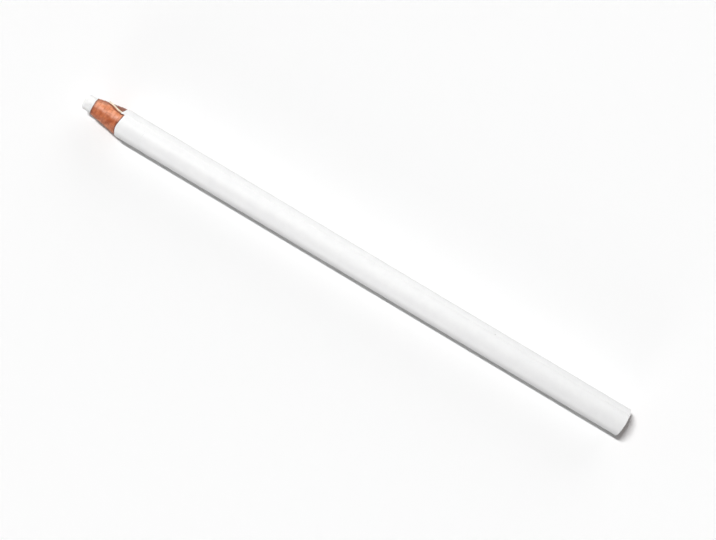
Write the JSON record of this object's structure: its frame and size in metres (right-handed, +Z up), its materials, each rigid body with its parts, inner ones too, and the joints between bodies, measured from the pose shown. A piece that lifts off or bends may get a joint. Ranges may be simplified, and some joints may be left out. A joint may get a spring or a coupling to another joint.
{
  "type": "china marker",
  "caption": "Peel-off wax pencil: a wax core in wound kraft paper strips under a white cover, with a pull string along the barrel and a stepped paper nose.",
  "frame": {"origin": "on the table, under the middle of the pencil's length and width", "axes": "+X along the pencil from the writing tip to the butt, +Y to the side that the pull string leans to, +Z up"},
  "size_m": [0.17, 0.0082, 0.0082],
  "materials": {
    "wax": "soft wax, faintly glossy",
    "kraft_paper": "matte, fibrous",
    "cover_paper": "lacquered, satin",
    "cotton_string": "twisted cotton"
  },
  "bodies": {
    "barrel": {"wax_core": "wax", "peel_strip_02": "kraft_paper", "peel_strip_03": "kraft_paper", "peel_strip_04": "kraft_paper", "peel_strip_05": "kraft_paper", "peel_strip_06": "kraft_paper", "peel_strip_07": "kraft_paper", "peel_strip_08": "kraft_paper", "peel_strip_09": "kraft_paper", "peel_strip_10": "kraft_paper", "peel_strip_11": "kraft_paper", "peel_strip_12": "kraft_paper", "peel_strip_13": "kraft_paper", "peel_strip_14": "kraft_paper", "peel_strip_15": "kraft_paper", "peel_strip_16": "kraft_paper", "peel_strip_17": "kraft_paper", "peel_strip_18": "kraft_paper", "peel_strip_19": "kraft_paper", "peel_strip_20": "kraft_paper", "barrel_cover": "cover_paper", "pull_string": "cotton_string"},
    "front_strip": {"peel_strip_01": "kraft_paper", "front_cover": "cover_paper", "string_front_length": "cotton_string"},
    "string_tail": {"string_tail": "cotton_string"}
  },
  "joints": [
    {"name": "front_strip_off", "type": "slide", "parent": "barrel", "child": "front_strip", "axis": [-1, 0, 0], "range_m": [0, 0.022]},
    {"name": "string_tail_lift", "type": "hinge", "parent": "front_strip", "child": "string_tail", "pos_m": [-0.07493, 0.00212, 0.00737], "axis": [0, 0.8387, -0.5446], "range_deg": [0, 110]}
  ]
}
